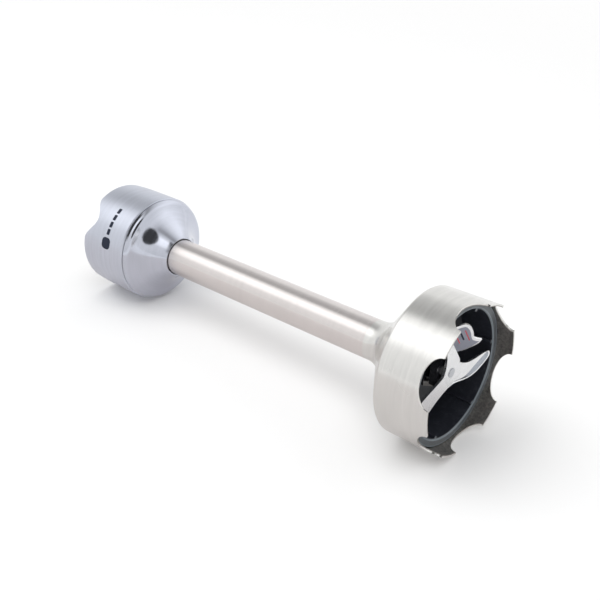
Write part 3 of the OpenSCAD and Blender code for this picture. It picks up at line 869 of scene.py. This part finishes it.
def floor_plane(name, low, color, far_light_color):
    """A large plain sheet under the wand, `low` being its height square to itself. Past the
    foot and behind the wand it takes the far colour, which on the floor seen in reflections is
    painted light, and far off it fades into the backdrop."""
    across = Vector((math.cos(FLOOR_TILT), 0, -math.sin(FLOOR_TILT)))
    middle = floor_up() * low + across * FLOOR_MIDDLE
    half = FLOOR_SIZE / 2
    mesh = bmesh.new()
    mesh.faces.new([mesh.verts.new(middle + across * i * half + Vector((0, j * half, 0)))
                    for i, j in ((-1, -1), (1, -1), (1, 1), (-1, 1))])
    floor = new_piece(name, mesh)
    material, tree, shader = new_material(name)
    cloud = noise(tree, 300, detail=2)
    shade = blend_colors(tree, remap(tree, cloud, 0, 1), tuned(color, 0.99), color)
    beyond = math_node(tree, "MAXIMUM", remap(tree, place_along(tree), 0, 1, *LIGHT_PAST_FOOT),
                       remap(tree, place_along(tree, "Y"), 0, 1, *LIGHT_BEHIND_WAND))
    shade = blend_colors(tree, beyond, shade, far_light_color)
    ways = [math_node(tree, "ABSOLUTE", place_along(tree, axis), 0) for axis in "XY"]
    away = remap(tree, math_node(tree, "MAXIMUM", *ways), 0, 1, *FLOOR_FADE)
    shade = blend_colors(tree, away, shade, (0, 0, 0))
    tree.links.new(shade, shader.inputs["Base Color"])
    shader.inputs["Emission Color"].default_value = (1, 1, 1, 1)
    tree.links.new(math_node(tree, "MULTIPLY", away, BACKDROP),
                   shader.inputs["Emission Strength"])
    shader.inputs["Roughness"].default_value = 0.9
    shader.inputs["Specular IOR Level"].default_value = 0.1
    floor.data.materials.append(material)
    return floor


def build_floor():
    """A pale floor that touches the collar and the guard. A darker twin, painted shade, is what
    shows in reflections, so that the steel isn't washed out from below; past the foot and
    behind the wand the twin is painted lighter, painted light."""
    up = floor_up()
    low = min(up.dot(v.co) for n in ("blade_guard", "collar_sleeve")
              for v in NODES[n].data.vertices)
    seen = floor_plane("floor", low, FLOOR_COLOR, FLOOR_COLOR)
    seen.visible_glossy = False
    mirrored = floor_plane("floor_in_reflections", low, MIRRORED_FLOOR_SHADE,
                           MIRRORED_FAR_LIGHT)
    mirrored.visible_camera = False
    mirrored.visible_diffuse = False
    mirrored.visible_shadow = False


# Brightness round the wand's axis, from the horizon behind (0) over the top (0.5) to the
# horizon in front (1), towards the collar and towards the foot. The two run into each other
# over SKY_TURN and into an even brightness over SKY_ENDS, both as the direction's X.
SKY_BACK = [
    (0.0, 0.95), (0.2, 0.92), (0.27, 0.64), (0.40, 0.47), (0.46, 0.52), (0.52, 1.15),
    (0.60, 1.62), (0.72, 1.45), (0.79, 1.0), (1.0, 0.85)]
SKY_FORE = [
    (0.0, 0.95), (0.14, 1.25), (0.22, 1.2), (0.30, 1.0), (0.37, 0.75), (0.43, 0.45),
    (0.47, 0.45), (0.54, 0.95), (0.60, 1.45), (0.71, 1.35), (0.79, 0.9), (1.0, 0.80)]
SKY_TURN = (-0.3, 0.0)
SKY_ENDS = (0.72, 0.9)
SKY_END = 0.9

# Two dark things in the room: a round one in one direction, and a streak
DARK = 0.06
FAR_SPOT = Vector((0.872, -0.2106, 0.441))
FAR_SPOT_EDGE = (0.951, 0.963)
STREAK_X = (-0.25, -0.15, 0.30, 0.36)
STREAK_ROUND = (0.50, 0.56, 0.80, 0.88)

LAMP_PLACE = (0.0, -0.25, 1.2)
LAMP_TARGET = (0.1, 0, 0)
LAMP_SIZE = (1.6, 1.2)
LAMP_POWER = 8.0


def sky_ramp(tree, angle, stops):
    """Brightness by the angle round the axis."""
    ramp = tree.nodes.new("ShaderNodeValToRGB")
    tree.links.new(angle, ramp.inputs["Fac"])
    elements = ramp.color_ramp.elements
    while len(elements) < len(stops):
        elements.new(0.5)
    top = max(v for _, v in stops)
    for element, (position, value) in zip(elements, stops):
        element.position = position
        element.color = (value / top, value / top, value / top, 1)
    return math_node(tree, "MULTIPLY", ramp.outputs["Color"], top)


def between(tree, value, limits):
    """1 between the two middle limits, fading to 0 at the outer ones."""
    rise = remap(tree, value, 0, 1, limits[0], limits[1])
    fall = remap(tree, value, 1, 0, limits[2], limits[3])
    return math_node(tree, "MULTIPLY", rise, fall)


def mixed(tree, factor, first, second):
    """first where the factor is 0, second where it is 1."""
    kept = math_node(tree, "MULTIPLY", first, math_node(tree, "SUBTRACT", 1, factor))
    return math_node(tree, "ADD", kept, math_node(tree, "MULTIPLY", second, factor))


def build_world():
    """Pale studio light, brightest high in front, with a dim ceiling and two dark things
    that show in the polished steel. The camera sees a plain backdrop."""
    world = bpy.data.worlds.new("studio")
    bpy.context.scene.world = world
    world.use_nodes = True
    tree = world.node_tree
    tree.nodes.clear()
    output = tree.nodes.new("ShaderNodeOutputWorld")
    light = tree.nodes.new("ShaderNodeBackground")
    tree.links.new(light.outputs["Background"], output.inputs["Surface"])
    place = tree.nodes.new("ShaderNodeTexCoord")
    parts = tree.nodes.new("ShaderNodeSeparateXYZ")
    tree.links.new(place.outputs["Generated"], parts.inputs["Vector"])
    x, y, z = (parts.outputs[k] for k in ("X", "Y", "Z"))
    angle = remap(tree, math_node(tree, "ARCTAN2", z, y), 0, 1, 0, math.pi)
    sky = mixed(tree, remap(tree, x, 0, 1, *SKY_TURN), sky_ramp(tree, angle, SKY_BACK),
                sky_ramp(tree, angle, SKY_FORE))
    near_end = remap(tree, math_node(tree, "ABSOLUTE", x, 0), 0, 1, *SKY_ENDS)
    sky = mixed(tree, near_end, sky, SKY_END)
    towards = tree.nodes.new("ShaderNodeVectorMath")
    towards.operation = "DOT_PRODUCT"
    tree.links.new(place.outputs["Generated"], towards.inputs[0])
    towards.inputs[1].default_value = FAR_SPOT.normalized()
    sky = mixed(tree, remap(tree, towards.outputs["Value"], 0, 1, *FAR_SPOT_EDGE), sky, DARK)
    streak = math_node(tree, "MULTIPLY", between(tree, x, STREAK_X),
                       between(tree, angle, STREAK_ROUND))
    sky = mixed(tree, streak, sky, DARK)
    rays = tree.nodes.new("ShaderNodeLightPath")
    sky = mixed(tree, rays.outputs["Is Camera Ray"], sky, BACKDROP)
    tree.links.new(sky, light.inputs["Strength"])
    light.inputs["Color"].default_value = (1, 1, 1, 1)


def build_lamp():
    """A soft lamp overhead that isn't seen in reflections."""
    data = bpy.data.lights.new("overhead_soft", "AREA")
    data.shape = "RECTANGLE"
    data.size, data.size_y = LAMP_SIZE
    data.energy = LAMP_POWER
    lamp = bpy.data.objects.new("overhead_soft", data)
    bpy.context.scene.collection.objects.link(lamp)
    lamp.location = LAMP_PLACE
    lamp.visible_glossy = False
    direction = Vector(LAMP_TARGET) - Vector(LAMP_PLACE)
    lamp.rotation_euler = direction.to_track_quat("-Z", "Y").to_euler()


def build_camera():
    """The camera at its place, looking and leaning as set above."""
    data = bpy.data.cameras.new("camera")
    data.lens = CAMERA_LENS
    data.sensor_width = CAMERA_SENSOR
    data.clip_start = 0.01
    camera = bpy.data.objects.new("camera", data)
    bpy.context.scene.collection.objects.link(camera)
    look = CAMERA_LOOK.normalized()
    right = look.cross(CAMERA_UP).normalized()
    up = right.cross(look)
    turn_matrix = Matrix((right, up, -look)).transposed().to_4x4()
    camera.matrix_world = Matrix.Translation(CAMERA_PLACE) @ turn_matrix
    bpy.context.scene.camera = camera


build_camera()
dress_nodes()
build_blade()
build_mark()
build_wing_marks()
build_floor()
build_world()
build_lamp()
bpy.context.scene.view_settings.view_transform = "Standard"
